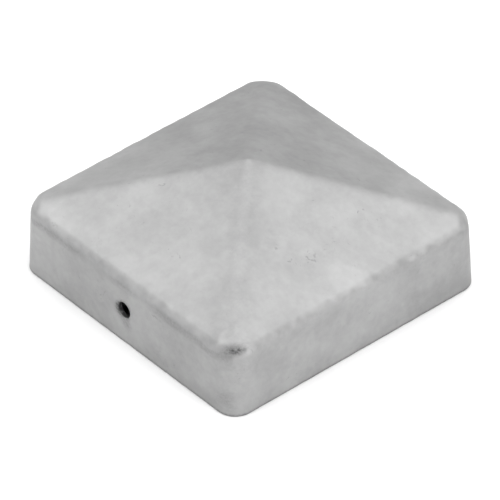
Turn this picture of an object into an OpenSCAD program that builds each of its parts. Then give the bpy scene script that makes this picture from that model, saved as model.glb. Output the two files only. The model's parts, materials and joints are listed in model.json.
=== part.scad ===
// Pyramid cap for a square timber fence post: one shell, deep drawn from a single
// steel sheet, with a fixing hole punched through two opposite sides of its skirt.
// The origin is the centre of the open rim. +Z points up to the apex, and the two
// holes are on one line along Y, so -Y is the front. Units are millimetres.

/* [Post] */
// Side of the square post that the cap fits over
post_w = 90; // [60:1:150]
// Gap between the post and the skirt, on each side
post_gap = 0.5; // [0.25:0.25:1.5]

/* [Sheet] */
// Thickness of the galvanised sheet
sheet_t = 1.5; // [1:0.1:2.5]

/* [Skirt] */
// Height at which the skirt's plane would meet the roof's plane
eave_h = 23; // [18:0.25:35]
// Outside radius of the four upright corners at the eave
corner_r = 8.5; // [6.5:0.5:12]
// Outside radius of the bend between each upright corner and the roof
corner_bend_r = 5.5; // [4:0.5:6.5]
// Outside radius of the upright corners at the rim, where they are pressed tighter
rim_corner_r = 6.25; // [4:0.25:6.25]
// Outside radius of the bend between skirt and roof, along the sides
eave_r = 3.5; // [2.75:0.25:5]

/* [Roof] */
// Rise of the four roof planes from the eave to the point where they would meet
roof_rise = 19.1; // [8:0.05:30]
// Outside radius of the blunt apex
apex_r = 3; // [2.75:0.25:6]

/* [Fixing holes] */
// Diameter of each punched hole
hole_d = 5; // [4:0.5:8]
// Height of the holes above the rim
hole_z = 12; // [8:0.5:14]

/* [Hidden] */
// Half the outside width
half_w = post_w / 2 + post_gap + sheet_t;
// Pitch of the roof in degrees
pitch = atan(roof_rise / half_w);
// How far the centre of a bend that touches skirt and roof lies below the eave, per unit of its radius
drop = (1 - sin(pitch)) / cos(pitch);
// Distance from the cap's two middle planes to each upright corner's axis, at the eave and at the rim
corner_c = half_w - corner_r;
rim_corner_c = half_w - rim_corner_r;
// Heights of the centres of the corner bends, of the eave bends and of the apex ball
corner_z = eave_h - corner_bend_r * drop;
eave_z = eave_h - eave_r * drop;
apex_z = eave_h + roof_rise - apex_r / cos(pitch);
// How far a cutting solid runs past the face that it cuts
cut_over = 1;
// Height over which the rim's corners keep their radius
rim_land = 0.5;
// Turn from one ball of a corner bend to the next
ball_turn = 15;
// Facets of the balls and bends, and of the holes
form_fn = 32;
hole_fn = 64;

// One upright corner: a short post at the rim, and balls round the bend at its top
module corner_form(inset, foot) {
    translate([rim_corner_c, rim_corner_c, -foot])
        cylinder(r = rim_corner_r - inset, h = foot + rim_land);
    translate([corner_c, corner_c, corner_z])
        for (turn = [0 : ball_turn : 90])
            rotate(turn)
                translate([corner_r - corner_bend_r, 0, 0])
                    sphere(r = corner_bend_r - inset);
}

// The bend along one side, as the rod that fits inside it
module eave_form(inset) {
    translate([half_w - eave_r, 0, eave_z])
        rotate([90, 0, 0])
            cylinder(r = eave_r - inset, h = 2 * corner_c, center = true);
}

// The cap as a solid block whose surface lies "inset" inside the cap's outer face.
// Every ball and rod keeps its centre, so two of these blocks bound an even wall.
module cap_form(inset, foot) {
    hull() {
        for (turn = [0 : 90 : 270])
            rotate(turn) {
                corner_form(inset, foot, $fn = form_fn);
                eave_form(inset, $fn = form_fn);
            }
        translate([0, 0, apex_z])
            sphere(r = apex_r - inset, $fn = form_fn);
    }
}

// The two fixing holes, front and back, on one line
module fixing_holes() {
    for (side = [-1, 1])
        translate([0, side * (half_w - sheet_t / 2), hole_z])
            rotate([90, 0, 0])
                cylinder(d = hole_d, h = sheet_t + 2 * cut_over, center = true, $fn = hole_fn);
}

// The drawn sheet before punching, brought to its exact outside width
module drawn_sheet() {
    resize([2 * half_w, 2 * half_w, 0])
        difference() {
            cap_form(0, 0);
            cap_form(sheet_t, cut_over);
        }
}

// The finished shell
module cap_shell() {
    color("darkgray")
        difference() {
            drawn_sheet();
            fixing_holes();
        }
}

cap_shell();
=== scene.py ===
"""Looks of a galvanised pyramid cap for a square fence post.

The cap is one deep-drawn steel shell. Its surface is worked out from the same
few sizes as its design: upright corners with a round bend above them, a bend
along each eave, four flat roof planes with softened hips, and a blunt apex.
"""

import json
import math

import bpy
import numpy as np
from bpy.props import (
    FloatProperty,
    FloatVectorProperty,
    IntProperty,
    PointerProperty,
)
from mathutils import Matrix, Vector


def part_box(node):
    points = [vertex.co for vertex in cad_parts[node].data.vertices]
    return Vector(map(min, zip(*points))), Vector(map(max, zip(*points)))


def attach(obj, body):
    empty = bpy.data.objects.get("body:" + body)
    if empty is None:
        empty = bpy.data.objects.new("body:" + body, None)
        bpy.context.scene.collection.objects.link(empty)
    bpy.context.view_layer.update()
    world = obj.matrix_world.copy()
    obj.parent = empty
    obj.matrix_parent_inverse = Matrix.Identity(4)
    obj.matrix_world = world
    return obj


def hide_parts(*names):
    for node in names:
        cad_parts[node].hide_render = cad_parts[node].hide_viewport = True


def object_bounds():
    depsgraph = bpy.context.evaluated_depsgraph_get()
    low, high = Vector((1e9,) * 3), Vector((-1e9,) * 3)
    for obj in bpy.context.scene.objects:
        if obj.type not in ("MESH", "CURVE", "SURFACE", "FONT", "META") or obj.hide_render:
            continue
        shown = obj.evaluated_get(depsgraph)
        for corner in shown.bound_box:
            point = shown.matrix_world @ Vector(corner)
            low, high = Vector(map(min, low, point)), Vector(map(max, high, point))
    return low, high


bl_info = {
    "name": "Galvanised Post Cap",
    "version": (1, 0, 0),
    "blender": (4, 5, 0),
    "location": "3D View > Sidebar > Post Cap",
    "description": "Builds a galvanised pyramid post cap with its zinc finish, and a studio for it",
    "category": "Object",
}

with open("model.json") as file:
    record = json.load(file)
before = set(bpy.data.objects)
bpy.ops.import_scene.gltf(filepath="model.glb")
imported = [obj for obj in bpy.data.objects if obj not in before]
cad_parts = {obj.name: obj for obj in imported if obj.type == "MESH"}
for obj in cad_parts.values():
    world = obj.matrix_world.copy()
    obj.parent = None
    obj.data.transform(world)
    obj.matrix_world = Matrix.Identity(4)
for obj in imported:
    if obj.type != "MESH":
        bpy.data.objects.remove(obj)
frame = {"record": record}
cad_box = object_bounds()

MM = 0.001
SHELL_NODE = "cap_shell"
MOUNTS = {mount["name"]: mount for mount in frame["record"]["mounts"]}
HOLE = MOUNTS["screw_hole_front"]
SHELL_HIGH = Vector(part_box(SHELL_NODE)[1])

# ---------------------------------------------------------------- sizes


class CapSizes(bpy.types.PropertyGroup):
    """Sizes of the drawn sheet, in metres."""

    half_width: FloatProperty(
        name="Half width",
        description="From the cap's middle to the outside of its skirt",
        default=SHELL_HIGH.x,
        unit="LENGTH",
    )
    sheet: FloatProperty(
        name="Sheet",
        description="Thickness of the galvanised sheet",
        default=HOLE["dims"]["length_mm"] * MM,
        unit="LENGTH",
    )
    eave_height: FloatProperty(
        name="Eave height",
        description="Height at which the skirt's plane would meet the roof's plane",
        default=23.0 * MM,
        unit="LENGTH",
    )
    roof_rise: FloatProperty(
        name="Roof rise",
        description="Rise of the roof planes from the eave to the point where they would meet",
        default=19.1 * MM,
        unit="LENGTH",
    )
    corner_radius: FloatProperty(
        name="Corner radius",
        description="Outside radius of the upright corners at the eave",
        default=8.5 * MM,
        unit="LENGTH",
    )
    corner_bend_radius: FloatProperty(
        name="Corner bend radius",
        description="Outside radius of the bend between each upright corner and the roof",
        default=5.5 * MM,
        unit="LENGTH",
    )
    rim_corner_radius: FloatProperty(
        name="Rim corner radius",
        description="Outside radius of the upright corners at the rim",
        default=6.25 * MM,
        unit="LENGTH",
    )
    eave_radius: FloatProperty(
        name="Eave radius",
        description="Outside radius of the bend between skirt and roof, at mid-side",
        default=3.5 * MM,
        unit="LENGTH",
    )
    apex_radius: FloatProperty(
        name="Apex radius",
        description="Outside radius of the blunt apex",
        default=3 * MM,
        unit="LENGTH",
    )
    hole_radius: FloatProperty(
        name="Hole radius",
        description="Radius of the two fixing holes",
        default=HOLE["dims"]["r_mm"] * MM,
        unit="LENGTH",
    )
    hole_height: FloatProperty(
        name="Hole height",
        description="Height of the fixing holes above the rim",
        default=HOLE["pos_m"][2],
        unit="LENGTH",
    )
    rim_round: FloatProperty(
        name="Rim round",
        description="Radius of the zinc on the rim's edges",
        default=0.45 * MM,
        unit="LENGTH",
    )
    hole_round: FloatProperty(
        name="Hole round",
        description="Radius of the zinc on the holes' edges",
        default=0.15 * MM,
        unit="LENGTH",
    )
    coat_room: FloatProperty(
        name="Coat room",
        description="Depth under the nominal surface that the uneven zinc coat plays in",
        default=0.1 * MM,
        unit="LENGTH",
    )
    hip_swell: FloatProperty(
        name="Hip swell",
        description="How much rounder the hips are halfway down than a straight taper",
        default=4.0 * MM,
        unit="LENGTH",
    )
    cells: IntProperty(
        name="Cells",
        description="Mesh cells from the middle of a side to its corner",
        default=64,
        min=24,
        max=80,
    )


class ZincFinish(bpy.types.PropertyGroup):
    """Colours and texture sizes of the hot-dip zinc."""

    # the painted light of the pale attribute blends towards this colour
    pale_zinc: FloatVectorProperty(
        name="Pale zinc",
        description="Colour of the fresh, pale clouds",
        default=(0.4492, 0.4492, 0.4492),
        subtype="COLOR",
    )
    grey_zinc: FloatVectorProperty(
        name="Grey zinc",
        description="Colour of the duller zinc between the clouds",
        default=(0.2924, 0.2924, 0.2924),
        subtype="COLOR",
    )
    # the stain colour also serves as painted shade in the bore, the crease, along the rim's foot and on
    # the front hip
    stain_and_shade: FloatVectorProperty(
        name="Stain",
        description="Colour of soot, ash and shadowed pits in the coat",
        default=(0.08, 0.08, 0.08),
        subtype="COLOR",
    )
    roughness: FloatProperty(
        name="Roughness",
        description="Mean roughness of the matt coat",
        default=0.55,
        subtype="FACTOR",
    )
    metallic: FloatProperty(
        name="Metallic",
        description="How metallic the coat is",
        default=0.7,
        subtype="FACTOR",
    )
    cloud_size: FloatProperty(
        name="Cloud size",
        description="Size of the pale and grey clouds",
        default=14 * MM,
        unit="LENGTH",
    )
    fleck_size: FloatProperty(
        name="Fleck size",
        description="Size of the small dark flecks",
        default=2.0 * MM,
        unit="LENGTH",
    )


class StudioSettings(bpy.types.PropertyGroup):
    """Floor, light and camera."""

    floor_colour: FloatVectorProperty(
        name="Floor",
        description="Colour of the pale floor",
        default=(0.93, 0.93, 0.93),
        subtype="COLOR",
    )
    sky: FloatProperty(
        name="Sky",
        description="Strength of the even light from all round",
        default=0.47,
    )
    overhead_power: FloatProperty(
        name="Overhead power",
        description="Power of the softbox above the cap, in watts",
        default=39.5,
    )
    front_power: FloatProperty(
        name="Front power",
        description="Power of the softbox before the front face, in watts",
        default=7.3,
    )
    side_power: FloatProperty(
        name="Side power",
        description="Power of the softbox at the +X side, in watts",
        default=20.6,
    )
    azimuth: FloatProperty(
        name="Azimuth",
        description="Camera's direction round the cap, from the front face",
        default=math.radians(49.51),
        subtype="ANGLE",
    )
    elevation: FloatProperty(
        name="Elevation",
        description="Camera's height angle above the rim's plane",
        default=math.radians(38.91),
        subtype="ANGLE",
    )
    roll: FloatProperty(
        name="Roll",
        description="Camera's tilt about its own line of sight",
        default=math.radians(-0.68),
        subtype="ANGLE",
    )
    distance: FloatProperty(
        name="Distance",
        description="From the camera to the middle of the cap",
        default=1.6614,
        unit="LENGTH",
    )
    lens: FloatProperty(
        name="Lens",
        description="Focal length in millimetres, on a sensor 36 mm wide",
        default=417.55,
    )


# ---------------------------------------------------------------- shell surface


def bend_over(difference, width):
    """The absolute value with its corner softened: |d|, but (d*d + w*w) / 2w where |d| < w."""
    size = np.abs(difference)
    return np.where(size < width, (size**2 + width**2) / (2 * width), size)


class CapForm:
    """The cap's outer face, and every face parallel to it, as formulas."""

    def __init__(self, sizes):
        self.sizes = sizes
        self.pitch = math.atan(sizes.roof_rise / sizes.half_width)
        self.drop = (1 - math.sin(self.pitch)) / math.cos(self.pitch)
        self.peak = sizes.eave_height + sizes.roof_rise
        self.apex_centre = self.peak - sizes.apex_radius / math.cos(self.pitch)
        self.corner_centre = sizes.half_width - sizes.corner_radius

    def station(self, place):
        """Where a profile stands on the +X side, for place from -1 to 1.

        The middle of the side is straight and its ends are the halves of two round
        corners, so the outline is (c + r cos a, s + r sin a), where s is the
        distance along the straight and a is the angle round the corner. The bend's
        radius grows from the eave's to the corner's as the square of sin 2a. Each
        station has the bend's centre, its radius, and the tilt at which it meets
        the roof: atan(reach / rise) + asin((bend - apex radius) / distance).
        """
        sizes = self.sizes
        centre = self.corner_centre
        travel = place * (centre + sizes.corner_radius * math.pi / 4)
        straight = np.clip(travel, -centre, centre)
        angle = (travel - straight) / sizes.corner_radius
        out = np.stack([np.cos(angle), np.sin(angle)], axis=-1)
        outline = sizes.corner_radius * out
        outline += np.stack([np.full_like(straight, centre), straight], axis=-1)
        fade = np.sin(2 * angle) ** 2
        bend = sizes.eave_radius + (sizes.corner_bend_radius - sizes.eave_radius) * fade
        middle = outline - bend[..., None] * out
        height = sizes.eave_height - bend * self.drop
        reach = (middle * out).sum(axis=-1)
        rise = self.apex_centre - height
        tilt = np.arctan2(reach, rise)
        tilt += np.arcsin((bend - sizes.apex_radius) / np.hypot(reach, rise))
        return {
            "straight": straight,
            "out": out,
            "middle": middle,
            "height": height,
            "bend": bend,
            "tilt": tilt,
        }

    def on_skirt(self, station, height, depth):
        """A point of the skirt. Its corners open evenly from the rim's radius to the eave's."""
        sizes = self.sizes
        share = np.clip(height / (sizes.eave_height - sizes.corner_bend_radius * self.drop), 0, 1)
        widening = (sizes.corner_radius - sizes.rim_corner_radius) * (1 - share)
        straight = station["straight"] * (1 + widening / self.corner_centre)
        bend = sizes.corner_radius - widening
        middle = np.stack([self.corner_centre + widening, straight], axis=-1)
        return middle + (bend - depth)[..., None] * station["out"]

    def on_bend(self, station, share, depth):
        """A point of the bend: centre + (radius - depth) * (cos f * outward + sin f * up)."""
        tilt = station["tilt"] * share
        radius = station["bend"] - depth
        level = station["middle"] + (radius * np.cos(tilt))[..., None] * station["out"]
        return level, station["height"] + radius * np.sin(tilt)

    def roof_height(self, level, share, depth):
        """Height of the roof over a point of the plan.

        It is the peak less the slope times the greater of |x| and |y|. The
        greater of two is (a + b + |a - b|) / 2, and softening |a - b| rounds
        the hips. Their radius grows from the apex's to the corner's, and has a
        half sine wave of the share's square root added on the way.
        """
        sizes = self.sizes
        slope = math.tan(self.pitch)
        hip = sizes.apex_radius + (sizes.corner_bend_radius - sizes.apex_radius) * share - depth
        hip += sizes.hip_swell * np.sin(math.pi * np.sqrt(share))
        x, y = np.abs(level[..., 0]), np.abs(level[..., 1])
        greater = (x + y + bend_over(x - y, hip * slope)) / 2
        greater = bend_over(greater, (sizes.apex_radius - depth) * slope)
        return self.peak - depth / math.cos(self.pitch) - slope * greater

    def roof(self, place, share, depth):
        """A roof point on the line from the apex (share 0) to the eave's bend (share 1)."""
        edge, edge_height = self.on_bend(self.station(place), 1.0, depth)
        level = edge * share[..., None]
        lift = edge_height - self.roof_height(edge, np.ones_like(share), depth)
        return level, self.roof_height(level, share, depth) + lift * share**4


def quarter_turned(level, height, turn):
    """Points of the +X side carried round to side 0, 1, 2 or 3 by quarter turns about Z."""
    cos = np.array([1, 0, -1, 0])[turn]
    sin = np.array([0, 1, 0, -1])[turn]
    x, y = level[..., 0], level[..., 1]
    return np.stack([x * cos - y * sin, x * sin + y * cos, height], axis=-1)


class ShellMesh:
    """Collects the shell's points and four-sided faces."""

    def __init__(self):
        self.points = []
        self.faces = []
        self.total = 0

    def add(self, points):
        """Adds an array of points and returns their numbers in the same layout."""
        count = points[..., 0].size
        numbers = self.total + np.arange(count).reshape(points.shape[:-1])
        self.points.append(points.reshape(-1, 3))
        self.total += count
        return numbers

    def join(self, rows, keep=None):
        """Faces between neighbouring closed rows, facing left of the way down the rows."""
        upper, lower = rows[:-1], rows[1:]
        quads = np.stack(
            [upper, lower, np.roll(lower, -1, axis=1), np.roll(upper, -1, axis=1)], axis=-1
        )
        self.faces.append(quads[keep] if keep is not None else quads.reshape(-1, 4))

    def finished(self):
        """Points and faces, without the points that no face uses."""
        faces = np.concatenate(self.faces)
        used, faces = np.unique(faces, return_inverse=True)
        return np.concatenate(self.points)[used], faces.reshape(-1, 4)


def roof_grid(form, cells, depth):
    """A square grid of roof points. Ring k of the grid is the eave's outline at share k / cells."""
    steps = np.arange(-cells, cells + 1)
    across, along = np.meshgrid(steps, steps, indexing="ij")
    ring = np.maximum(np.abs(across), np.abs(along))
    turn = np.select([across == ring, along == ring, across == -ring], [0, 1, 2], 3)
    offset = np.choose(turn, [along, -across, -along, across])
    place = offset / np.maximum(ring, 1)
    level, height = form.roof(place, ring / cells, depth)
    return quarter_turned(level, height, turn)


def grid_border(numbers):
    """The grid's outermost ring, anticlockwise from the corner between front and +X."""
    return np.concatenate(
        [numbers[-1, :-1], numbers[:0:-1, -1], numbers[0, :0:-1], numbers[:-1, 0]]
    )


BEND_ROWS = 12
RIM_ROWS = 4
LOW_ROWS = 10
TOP_ROWS = 4
HOLE_CELLS = 7
PATCH_REACH = 1.6


def build_shell(sizes):
    """Points, faces and outward directions of the whole shell before its zinc coat.

    One profile is carried round the outline: down the bend and the skirt, round
    the rim and up the inside. A grid closes it above as the roof and one below
    that as the ceiling. A square block of skirt cells at each hole gives way to
    rings that turn from the square into the hole's circle and run through it.
    """
    form = CapForm(sizes)
    mesh = ShellMesh()
    cells = sizes.cells
    outer, inner = sizes.coat_room, sizes.sheet

    # the profile's stations all round
    count = 8 * cells
    turn, offset = np.divmod(np.arange(count), 2 * cells)
    station = form.station(offset / cells - 1)

    def row(level, height):
        return quarter_turned(level, np.broadcast_to(height, turn.shape), turn)

    def skirt_row(height, depth):
        height = np.broadcast_to(height, turn.shape)
        return row(form.on_skirt(station, height, depth), height)

    patch = sizes.hole_radius * PATCH_REACH
    patch_low = sizes.hole_height - patch
    patch_top = sizes.hole_height + patch
    above = np.linspace(1, 0, TOP_ROWS + 1)[1:]
    heights = [patch_top + (station["height"] - patch_top) * share for share in above]
    first = len(heights) - 1
    heights += list(np.linspace(patch_top, patch_low, 2 * HOLE_CELLS + 1)[1:])
    last = len(heights) - 1
    heights += list(np.linspace(patch_low, sizes.rim_round, LOW_ROWS + 1)[1:])

    bend_shares = np.arange(BEND_ROWS - 1, -1, -1) / BEND_ROWS
    outside = [row(*form.on_bend(station, share, outer)) for share in bend_shares]
    outside += [skirt_row(height, outer) for height in heights]
    inside = [row(*form.on_bend(station, share, inner)) for share in bend_shares]
    inside += [skirt_row(height, inner) for height in heights]
    arc = np.linspace(0, math.pi / 2, RIM_ROWS + 1)
    edge = sizes.rim_round
    rim = [skirt_row(edge - edge * math.sin(a), outer + edge - edge * math.cos(a)) for a in arc[1:]]
    rim += [
        skirt_row(edge - edge * math.cos(a), inner - edge + edge * math.sin(a)) for a in arc[:-1]
    ]

    roof = mesh.add(roof_grid(form, cells, outer))
    ceiling = mesh.add(roof_grid(form, cells, inner))
    middle = mesh.add(np.stack(outside + rim + inside[::-1]))
    rows = np.concatenate([grid_border(roof)[None], middle, grid_border(ceiling)[None]])

    # blocks of skirt cells that the holes replace
    top_row = 1 + BEND_ROWS + first
    low_row = 1 + BEND_ROWS + last
    keep = np.ones((len(rows) - 1, count), dtype=bool)
    mirror = len(rows) - 1
    centres = [3 * cells, 7 * cells]
    for column in centres:
        span = slice(column - HOLE_CELLS, column + HOLE_CELLS)
        keep[top_row:low_row, span] = False
        keep[mirror - low_row : mirror - top_row, span] = False
    mesh.join(rows, keep)
    grid = np.stack([roof[:-1, :-1], roof[1:, :-1], roof[1:, 1:], roof[:-1, 1:]], axis=-1)
    mesh.faces.append(grid.reshape(-1, 4))
    grid = np.stack(
        [ceiling[:-1, :-1], ceiling[:-1, 1:], ceiling[1:, 1:], ceiling[1:, :-1]], axis=-1
    )
    mesh.faces.append(grid.reshape(-1, 4))

    points = np.concatenate(mesh.points)
    for column in centres:
        columns = slice(column - HOLE_CELLS, column + HOLE_CELLS + 1)
        front = rows[top_row : low_row + 1, columns]
        back = rows[mirror - low_row : mirror - top_row + 1, columns][::-1]
        add_hole(mesh, sizes, points, block_border(front), block_border(back), outer)
    return mesh.finished()


def block_border(block):
    """A block's outermost numbers, anticlockwise from its lower left corner, seen from outside."""
    return np.concatenate([block[-1, :-1], block[:0:-1, -1], block[0, :0:-1], block[:-1, 0]])


FAN_SHARES = (0.74, 0.5, 0.28, 0.12)
EDGE_ROWS = 4
BORE_SHARES = (0.25, 0.5, 0.75)


def add_hole(mesh, sizes, points, front, back, outer):
    """Rings from the block's border into the hole, through the sheet and out to the inner border.

    A ring on a face is share * border + (1 - share) * circle. A ring on an edge
    has radius r + e (1 - sin a) at depth e (1 - cos a), for a from 0 to 90 degrees.
    """
    border_out, border_in = points[front], points[back]
    centre = border_out.mean(axis=0)
    side = math.copysign(1, centre[1])
    centre = np.array([0, side * sizes.half_width, sizes.hole_height])
    count = len(front)
    angle = 2 * math.pi * np.arange(count) / count - 0.75 * math.pi

    def circle(radius, depth):
        across = -side * radius * np.cos(angle)
        inward = np.full(count, -side * depth)
        return centre + np.stack([across, inward, radius * np.sin(angle)], axis=-1)

    radius, edge = sizes.hole_radius, sizes.hole_round
    arc = np.linspace(0, math.pi / 2, EDGE_ROWS + 1)
    rings = [
        share * border_out + (1 - share) * circle(radius + edge, outer) for share in FAN_SHARES
    ]
    rings += [
        circle(radius + edge * (1 - math.sin(a)), outer + edge * (1 - math.cos(a))) for a in arc
    ]
    start, end = outer + edge, sizes.sheet - edge
    rings += [circle(radius, start + (end - start) * share) for share in BORE_SHARES]
    rings += [
        circle(radius + edge * (1 - math.cos(a)), end + edge * math.sin(a)) for a in arc
    ]
    rings += [
        share * border_in + (1 - share) * circle(radius + edge, sizes.sheet)
        for share in FAN_SHARES[::-1]
    ]
    numbers = mesh.add(np.stack(rings))
    numbers = np.concatenate([front[None], numbers, back[None]])
    mesh.join(numbers[:, ::-1])


def outward_directions(points, faces):
    """Unit normals at the points: the sum of the neighbouring faces' normals, made length 1."""
    corner = points[faces]
    across = np.cross(corner[:, 2] - corner[:, 0], corner[:, 3] - corner[:, 1])
    total = np.zeros_like(points)
    for number in range(4):
        np.add.at(total, faces[:, number], across)
    return total / np.linalg.norm(total, axis=1, keepdims=True)


# ---------------------------------------------------------------- zinc coat

SEED = 41
WAVES = 28

# lengths of the relief's waves, and their heights in millimetres
LONG_LENGTH, MID_LENGTH, SHORT_LENGTH = 26 * MM, 9 * MM, 3.4 * MM
LONG_RELIEF, MID_RELIEF, SHORT_RELIEF = 0.030, 0.022, 0.012
LUMP_LENGTH, FINE_LUMP_LENGTH, DRIP_LENGTH = 7 * MM, 3 * MM, 5 * MM
LUMP_HEIGHT, LUMP_SINK, DRIP_HEIGHT = 0.20, 0.05, 0.03

# where zinc gathers along the eave: distance from the cap's middle, height and spread
EAVE_REACH, EAVE_RISE, EAVE_SPREAD = 45.6 * MM, 21.8 * MM, 2.4 * MM

# the front corner: its least x - y, then heights, widths and depths of its crease and bumps
FRONT_CORNER = 80 * MM
CREASE_RISE, CREASE_WIDTH, CREASE_TALL, CREASE_LEAN = 22.3 * MM, 3.0 * MM, 1.0 * MM, 0.12
CREASE_DEPTH, BUMP_HEIGHT, BUMP_RISE = 0.5, 0.24, 24.0 * MM

# the bead round each hole: distance outside the mouth, width and height
BEAD_OFFSET, BEAD_WIDTH, BEAD_HEIGHT = 0.75 * MM, 0.5 * MM, 0.09

# how dark each mark is: stains round the hole, below it and low on the front corner; painted shade in
# the bore, the crease, along the rim's foot and on the front hip; darker bands under the front eave and
# down the front corner
HALO_STAIN, STREAK_STAIN, BORE_PAINTED_SHADE, CREASE_PAINTED_SHADE, RIM_PAINTED_SHADE = 0.62, 0.34, 0.97, 0.85, 0.75
EAVE_BAND_DARKENING, BLOTCH_STAIN, CORNER_DARKENING, HIP_PAINTED_SHADE = 0.26, 0.24, 0.06, 0.07

# how much painted light the roof gets, more towards the eave and the side corners, less as painted
# shade on the front hip and back; a painted highlight on the corner's bumps, and painted shade on the
# +X skirt
ROOF_PAINTED_LIGHT, EAVEWARD_PAINTED_LIGHT, SIDE_PAINTED_LIGHT, HIP_PAINTED_DIMMING, BACK_PAINTED_SHADE = 0.2, 0.26, 0.42, 0.32, 0.35
BUMP_PAINTED_HIGHLIGHT, SHADED_DIM, PALE_LOW, PALE_HIGH = 0.45, 0.4, -0.4, 1.5


def ripples(points, rng, length):
    """Random gentle relief, about -1 to 1: a sum of sine waves in random directions near one length."""
    way = rng.normal(size=(WAVES, 3))
    way /= np.linalg.norm(way, axis=1, keepdims=True)
    pace = 2 * math.pi / (length * rng.uniform(0.65, 1.5, WAVES))
    phase = rng.uniform(0, 2 * math.pi, WAVES)
    waves = np.sin(points @ (way * pace[:, None]).T + phase)
    return waves.sum(axis=1) / math.sqrt(2 * WAVES)


def hump(distance, width):
    """A smooth hump, exp(-(d / w)^2): 1 at distance 0."""
    return np.exp(-((distance / width) ** 2))


def coat(points, normals, sizes):
    """Height of the zinc over the nominal face, its stains and painted shade, and its paleness, which
    is mostly painted light and shade.
    """
    rng = np.random.default_rng(SEED)
    x, y, z = points.T
    reach = np.maximum(np.abs(x), np.abs(y))
    outer = (points * normals).sum(axis=1) > 0
    long_wave = ripples(points, rng, LONG_LENGTH)
    mid_wave = ripples(points, rng, MID_LENGTH)
    short_wave = ripples(points, rng, SHORT_LENGTH)
    height = LONG_RELIEF * long_wave + MID_RELIEF * mid_wave + SHORT_RELIEF * short_wave

    # the eave: zinc gathers along the bend in uneven lumps
    eave = hump(np.hypot(reach - EAVE_REACH, z - EAVE_RISE), EAVE_SPREAD) * outer
    lumps = 0.6 * ripples(points, rng, LUMP_LENGTH)
    lumps += 0.4 * ripples(points, rng, FINE_LUMP_LENGTH)
    height += eave * (LUMP_HEIGHT * lumps - LUMP_SINK)

    # a crease in the bend of the front corner, with a bump at each side above it
    round_corner = (x + y) / math.sqrt(2)
    at_corner = ((x - y) > FRONT_CORNER) & outer
    lean = z - CREASE_RISE - CREASE_LEAN * round_corner
    crease = hump(round_corner - 0.4 * MM, CREASE_WIDTH) * hump(lean, CREASE_TALL) * at_corner
    bumps = hump(np.hypot(round_corner + 3.9 * MM, z - BUMP_RISE), 1.0 * MM)
    ridge = hump((round_corner - 3.0 * MM) / 2.2, 1.2 * MM)
    bumps += 0.6 * ridge * hump(z - 24.2 * MM, 0.7 * MM)
    bumps *= at_corner
    height += BUMP_HEIGHT * bumps - CREASE_DEPTH * crease

    # a thin bead of zinc round each hole
    from_hole = np.hypot(x, z - sizes.hole_height)
    on_skirt = (np.abs(y) > sizes.half_width - sizes.sheet / 2) & outer
    bead = hump(from_hole - sizes.hole_radius - BEAD_OFFSET, BEAD_WIDTH) * on_skirt
    side_light = 0.6 + 0.4 * np.tanh((x + z - sizes.hole_height) / (2 * MM))
    height += BEAD_HEIGHT * bead * side_light

    # drips along the rim
    rim = hump(z, 1.6 * MM)
    height += rim * DRIP_HEIGHT * ripples(points, rng, DRIP_LENGTH)

    # stains round the hole and below it; painted shade in the bore, in the crease and along the rim's
    # foot; darker bands under the front eave and down the front corner
    ragged = 1 + 0.5 * mid_wave + 0.4 * short_wave
    low_left = np.clip((sizes.hole_height - x - z) / (from_hole + MM), 0, 1)
    halo = hump(np.maximum(from_hole - sizes.hole_radius, 0), (0.65 + 0.75 * low_left) * MM)
    below = hump(x - 1.2 * MM, 1.6 * MM) * hump(z - 7.2 * MM, 1.8 * MM)
    stain_and_shade = on_skirt * (HALO_STAIN * halo + STREAK_STAIN * below) * ragged
    # painted shade: the bore is coloured almost black for the shade inside the hole
    in_bore = (from_hole < sizes.hole_radius + 0.5 * sizes.hole_round) & (np.abs(y) > 45 * MM)
    stain_and_shade = np.maximum(stain_and_shade, BORE_PAINTED_SHADE * in_bore)
    # painted shade in the crease
    stain_and_shade += CREASE_PAINTED_SHADE * crease
    # painted shade along the foot of the rim, where it meets the floor
    stain_and_shade += RIM_PAINTED_SHADE * hump(z, 0.5 * MM)
    # a ragged darker band just under the eave on the front face
    front = hump(y + sizes.half_width, 2.0 * MM) * outer
    under_eave = hump(z - 20.4 * MM - 0.5 * MM * mid_wave, 1.1 * MM) * front
    stain_and_shade += EAVE_BAND_DARKENING * np.clip(under_eave * (0.8 + 0.9 * long_wave), 0, 1)
    blotch = hump(np.hypot(round_corner + 2.2 * MM, 0.8 * (z - 6.0 * MM)), 2.2 * MM)
    stain_and_shade += BLOTCH_STAIN * blotch * at_corner * ragged
    # darker tone down the front corner, below the eave
    stain_and_shade += CORNER_DARKENING * hump(round_corner, 6 * MM) * at_corner * (z < 20 * MM)

    # painted light: the roof's upward faces paler away from the apex and towards the side corners, with
    # a ragged edge; painted shade on the front hip and towards the back; a painted highlight on the
    # corner's bumps
    upward = normals[:, 2] + 0.2 * mid_wave + 0.16 * short_wave
    roof = outer * np.clip((upward - 0.3) / 0.4, 0, 1)
    eaveward = np.clip((reach - 10 * MM) / (30 * MM), 0, 1)
    sideways = np.clip((np.abs(x + y) - 24 * MM) / (50 * MM), 0, 1)
    front_hip = hump(x + y, 7 * MM) * (x > y)
    backward = np.clip((y - x) / (94 * MM), 0, 1)
    pale = ROOF_PAINTED_LIGHT + EAVEWARD_PAINTED_LIGHT * eaveward + SIDE_PAINTED_LIGHT * sideways
    # painted shade along the front hip and towards the back corner
    pale = roof * (pale - HIP_PAINTED_DIMMING * front_hip - BACK_PAINTED_SHADE * backward)
    # more painted shade along the front hip
    stain_and_shade += HIP_PAINTED_SHADE * roof * front_hip
    pale *= 1 + 0.3 * long_wave
    # painted shade on the +X skirt towards the back, turning to painted light towards the front corner
    shaded = np.clip(y / (40 * MM), -0.3, 1) * outer * (x > 44 * MM) * (1 - roof)
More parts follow.
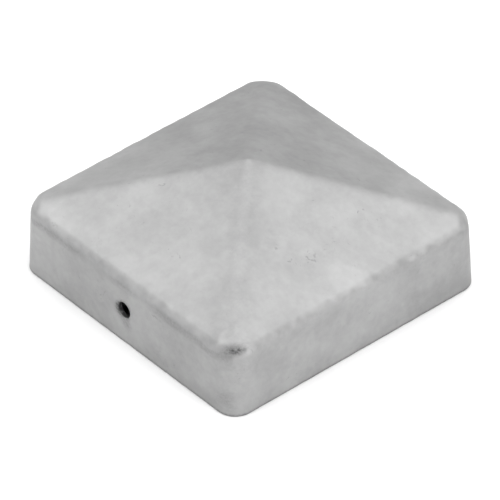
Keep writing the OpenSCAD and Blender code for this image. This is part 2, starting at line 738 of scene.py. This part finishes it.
    # painted highlight on the front corner's bumps, and the +X skirt's painted shade
    pale += BUMP_PAINTED_HIGHLIGHT * bumps - SHADED_DIM * shaded
    return height * MM, np.clip(stain_and_shade, 0, 1), np.clip(pale, PALE_LOW, PALE_HIGH)


# ---------------------------------------------------------------- material


class NodeTree:
    """A short way to add shader nodes and join them."""

    def __init__(self, tree):
        self.tree = tree

    def add(self, kind, settings=None, **inputs):
        """Adds a node. A socket passed as an input is linked, and anything else is set."""
        node = self.tree.nodes.new(kind)
        for name, value in (settings or {}).items():
            setattr(node, name, value)
        for name, value in inputs.items():
            key = int(name[1:]) if name[1:].isdigit() else name.replace("_", " ")
            if isinstance(value, bpy.types.NodeSocket):
                self.tree.links.new(value, node.inputs[key])
            else:
                node.inputs[key].default_value = value
        return node

    def math(self, operation, first, second=0.0, clamp=False):
        """One Math node's result."""
        settings = {"operation": operation, "use_clamp": clamp}
        return self.add("ShaderNodeMath", settings, i0=first, i1=second).outputs[0]

    def add_scaled(self, value, factor, base):
        """value * factor + base, as one Math node."""
        settings = {"operation": "MULTIPLY_ADD"}
        return self.add("ShaderNodeMath", settings, i0=value, i1=factor, i2=base).outputs[0]

    def noise(self, where, size, detail=3.0, roughness=0.5, twist=0.0):
        """Cloudy noise whose features are about `size` metres across."""
        node = self.add(
            "ShaderNodeTexNoise",
            Vector=where,
            Scale=1 / size,
            Detail=detail,
            Roughness=roughness,
            Distortion=twist,
        )
        return node.outputs["Fac"]

    def between(self, value, low, high):
        """The value brought from low..high to 0..1, held at both ends."""
        settings = {"clamp": True, "interpolation_type": "SMOOTHSTEP"}
        node = self.add(
            "ShaderNodeMapRange", settings, Value=value, From_Min=low, From_Max=high
        )
        return node.outputs["Result"]

    def blend(self, share, first, second):
        """A colour from first to second."""
        node = self.add("ShaderNodeMix", {"data_type": "RGBA", "clamp_factor": True})
        for index, value in ((0, share), (6, first), (7, second)):
            if isinstance(value, bpy.types.NodeSocket):
                self.tree.links.new(value, node.inputs[index])
            else:
                node.inputs[index].default_value = value
        return node.outputs[2]


def opaque(colour):
    """The colour with full alpha."""
    return (*colour, 1.0)


CLOUD_SHARE, MOTTLE_SHARE, SPANGLE_SHARE, PALE_SHARE = 0.42, 0.15, 0.07, 0.5
SPANGLE_SIZE, GLOSS_SPREAD = 2.4 * MM, 0.16


def zinc_material(finish):
    """Matt hot-dip zinc: soft clouds, faint spangle, dark flecks, stains, painted light and shade from
    the attributes, and a pebbled skin.
    """
    material = bpy.data.materials.new("zinc_coat")
    material.use_nodes = True
    material.node_tree.nodes.clear()
    tree = NodeTree(material.node_tree)
    where = tree.add("ShaderNodeTexCoord").outputs["Object"]
    # the attributes: stains together with painted shade, and paleness that is mostly painted light and
    # shade
    stain_and_shade = tree.add("ShaderNodeAttribute", {"attribute_name": "stain_and_shade"}).outputs["Fac"]
    pale = tree.add("ShaderNodeAttribute", {"attribute_name": "pale"}).outputs["Fac"]

    clouds = tree.noise(where, finish.cloud_size, detail=4, roughness=0.6)
    mottle = tree.noise(where, finish.cloud_size / 6, detail=3, roughness=0.6)
    spangle = tree.add(
        "ShaderNodeTexVoronoi", Vector=where, Scale=1 / SPANGLE_SIZE, Randomness=1.0
    )
    facets = tree.add("ShaderNodeSeparateColor", Color=spangle.outputs["Color"]).outputs[0]

    # share of pale zinc: clouds, mottle and spangle, lifted by the painted light of the pale attribute
    share = tree.math("MULTIPLY", tree.between(clouds, 0.3, 0.7), CLOUD_SHARE)
    share = tree.add_scaled(tree.between(mottle, 0.25, 0.75), MOTTLE_SHARE, share)
    share = tree.add_scaled(facets, SPANGLE_SHARE, share)
    share = tree.add_scaled(pale, PALE_SHARE, share)
    colour = tree.blend(share, opaque(finish.grey_zinc), opaque(finish.pale_zinc))

    # small soft dark flecks, gathered in loose groups
    specks = tree.noise(where, finish.fleck_size, detail=3, roughness=0.55, twist=1.6)
    spot = tree.between(specks, 0.62, 0.74)
    groups = tree.between(tree.noise(where, 9 * MM, detail=2), 0.5, 0.66)
    flecks = tree.math("MULTIPLY", tree.math("MULTIPLY", spot, groups), 0.3)
    grain = tree.noise(where, 0.9 * MM, detail=3, roughness=0.7)
    ragged = tree.between(grain, 0.2, 0.75)
    # real stains and painted shade alike darken the colour here and dent the pits
    ragged_stain_and_shade = tree.math("MULTIPLY", stain_and_shade, tree.math("ADD", ragged, 0.45))
    marks_and_shade = tree.math("ADD", flecks, ragged_stain_and_shade, clamp=True)
    colour = tree.blend(marks_and_shade, colour, opaque(finish.stain_and_shade))

    gloss = tree.add_scaled(clouds, GLOSS_SPREAD, finish.roughness - GLOSS_SPREAD / 2)
    pebbles = tree.noise(where, 1.6 * MM, detail=4, roughness=0.6)
    swells = tree.noise(where, 5.5 * MM, detail=2, roughness=0.5)
    low = tree.add(
        "ShaderNodeBump", Strength=0.14, Distance=0.5 * MM, Height=swells
    ).outputs["Normal"]
    skin = tree.add(
        "ShaderNodeBump", Strength=0.08, Distance=0.2 * MM, Height=pebbles, Normal=low
    ).outputs["Normal"]
    pits = tree.add(
        "ShaderNodeBump", {"invert": True}, Strength=0.5, Distance=0.2 * MM, Height=marks_and_shade, Normal=skin
    ).outputs["Normal"]
    shader = tree.add(
        "ShaderNodeBsdfPrincipled",
        Base_Color=colour,
        Metallic=finish.metallic,
        Roughness=gloss,
        Normal=pits,
    )
    tree.add("ShaderNodeOutputMaterial", Surface=shader.outputs["BSDF"])
    return material


def floor_material(settings):
    """Pale matt card with a trace of cloudiness."""
    material = bpy.data.materials.new("studio_floor")
    material.use_nodes = True
    material.node_tree.nodes.clear()
    tree = NodeTree(material.node_tree)
    where = tree.add("ShaderNodeTexCoord").outputs["Object"]
    pale = opaque(settings.floor_colour)
    dull = opaque([channel * 0.985 for channel in settings.floor_colour])
    colour = tree.blend(tree.noise(where, 0.4), pale, dull)
    shader = tree.add("ShaderNodeBsdfPrincipled", Base_Color=colour, Roughness=0.9)
    shader.inputs["Specular IOR Level"].default_value = 0.1
    tree.add("ShaderNodeOutputMaterial", Surface=shader.outputs["BSDF"])
    return material


# ---------------------------------------------------------------- pieces


def add_object(name, points, faces, material):
    """A mesh object at the origin, from arrays of points and faces."""
    mesh = bpy.data.meshes.new(name)
    mesh.from_pydata(points, [], faces)
    mesh.materials.append(material)
    piece = bpy.data.objects.new(name, mesh)
    bpy.context.collection.objects.link(piece)
    return piece


def set_attribute(mesh, name, values):
    """Stores one number for each of the mesh's points."""
    layer = mesh.attributes.new(name, "FLOAT", "POINT")
    layer.data.foreach_set("value", values.astype(np.float32))


class POSTCAP_OT_add_shell(bpy.types.Operator):
    """Add the drawn, punched and galvanised shell"""

    bl_idname = "postcap.add_shell"
    bl_label = "Add Shell"

    def execute(self, context):
        sizes = context.scene.postcap_sizes
        points, faces = build_shell(sizes)
        normals = outward_directions(points, faces)
        height, stain_and_shade, pale = coat(points, normals, sizes)
        points = points + normals * height[:, None]
        # zinc drips that would pass below the rim's plane are pressed flat on it
        points = np.clip(points, np.array(cad_box[0]), np.array(cad_box[1]))
        material = zinc_material(context.scene.postcap_zinc)
        shell = add_object("galvanised_shell", points, faces, material)
        shell.data.shade_smooth()
        set_attribute(shell.data, "stain_and_shade", stain_and_shade)
        set_attribute(shell.data, "pale", pale)
        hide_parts(SHELL_NODE)
        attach(shell, "root")
        return {"FINISHED"}


def add_softbox(name, place, aim, size, power):
    """A square soft light at a place, facing a point."""
    light = bpy.data.lights.new(name, "AREA")
    light.shape = "SQUARE"
    light.size = size
    light.energy = power
    lamp = bpy.data.objects.new(name, light)
    lamp.location = place
    lamp.rotation_euler = (Vector(aim) - Vector(place)).to_track_quat("-Z", "Y").to_euler()
    bpy.context.collection.objects.link(lamp)
    return lamp


CAMERA_AIM = Vector((0, 0, 14 * MM))
CAMERA_SIDE = -0.14 * MM
CAMERA_RISE = 4.14 * MM


def add_camera(settings):
    """A long lens that looks down on the corner between the front and the +X side."""
    azimuth, elevation = settings.azimuth, settings.elevation
    back = Vector(
        (
            math.sin(azimuth) * math.cos(elevation),
            -math.cos(azimuth) * math.cos(elevation),
            math.sin(elevation),
        )
    )
    right = Vector((math.cos(azimuth), math.sin(azimuth), 0))
    up = back.cross(right)
    tilt = Matrix.Rotation(settings.roll, 3, back)
    right, up = tilt @ right, tilt @ up
    place = CAMERA_AIM - CAMERA_SIDE * right - CAMERA_RISE * up + settings.distance * back
    data = bpy.data.cameras.new("studio_camera")
    data.sensor_width = 36
    data.lens = settings.lens
    data.clip_end = 20
    camera = bpy.data.objects.new("studio_camera", data)
    turn = Matrix((right, up, back)).transposed().to_4x4()
    camera.matrix_world = Matrix.Translation(place) @ turn
    bpy.context.collection.objects.link(camera)
    bpy.context.scene.camera = camera


FLOOR_HALF = 3.0


class POSTCAP_OT_add_stage(bpy.types.Operator):
    """Add the pale floor, the soft light and the camera"""

    bl_idname = "postcap.add_stage"
    bl_label = "Add Stage"

    def execute(self, context):
        settings = context.scene.postcap_studio
        reach = FLOOR_HALF
        corners = [(-reach, -reach, 0), (reach, -reach, 0), (reach, reach, 0), (-reach, reach, 0)]
        floor = add_object("studio_floor", corners, [(0, 1, 2, 3)], floor_material(settings))
        world = bpy.data.worlds.new("studio_sky")
        world.use_nodes = True
        background = world.node_tree.nodes["Background"]
        background.inputs["Color"].default_value = (1, 1, 1, 1)
        background.inputs["Strength"].default_value = settings.sky
        context.scene.world = world
        add_softbox("overhead_softbox", (-0.2, 0.15, 1.6), (0, 0, 0), 2.8, settings.overhead_power)
        add_softbox("front_softbox", (-0.5, -1.7, 0.8), (0, 0, 0), 1.4, settings.front_power)
        add_softbox("side_softbox", (1.7, -0.2, 0.8), (0, 0, 0), 1.4, settings.side_power)
        context.scene.view_settings.view_transform = "Standard"
        add_camera(settings)
        return {"FINISHED"}


class POSTCAP_PT_panel(bpy.types.Panel):
    """Post cap tools in the 3D view's sidebar"""

    bl_idname = "POSTCAP_PT_panel"
    bl_label = "Post Cap"
    bl_space_type = "VIEW_3D"
    bl_region_type = "UI"
    bl_category = "Post Cap"

    def draw(self, context):
        layout = self.layout
        for group in (
            context.scene.postcap_sizes,
            context.scene.postcap_zinc,
            context.scene.postcap_studio,
        ):
            box = layout.box()
            for name in group.__annotations__:
                box.prop(group, name)
        for operator in OPERATORS:
            layout.operator(operator.bl_idname)


GROUPS = {
    "postcap_sizes": CapSizes,
    "postcap_zinc": ZincFinish,
    "postcap_studio": StudioSettings,
}
OPERATORS = (POSTCAP_OT_add_shell, POSTCAP_OT_add_stage)


def register():
    for name, group in GROUPS.items():
        bpy.utils.register_class(group)
        setattr(bpy.types.Scene, name, PointerProperty(type=group))
    for operator in OPERATORS:
        bpy.utils.register_class(operator)
    bpy.utils.register_class(POSTCAP_PT_panel)


def unregister():
    bpy.utils.unregister_class(POSTCAP_PT_panel)
    for operator in OPERATORS:
        bpy.utils.unregister_class(operator)
    for name, group in GROUPS.items():
        delattr(bpy.types.Scene, name)
        bpy.utils.unregister_class(group)


def main():
    """Build everything in order."""
    register()
    bpy.ops.postcap.add_shell()
    bpy.ops.postcap.add_stage()


if __name__ == "__main__":
    main()
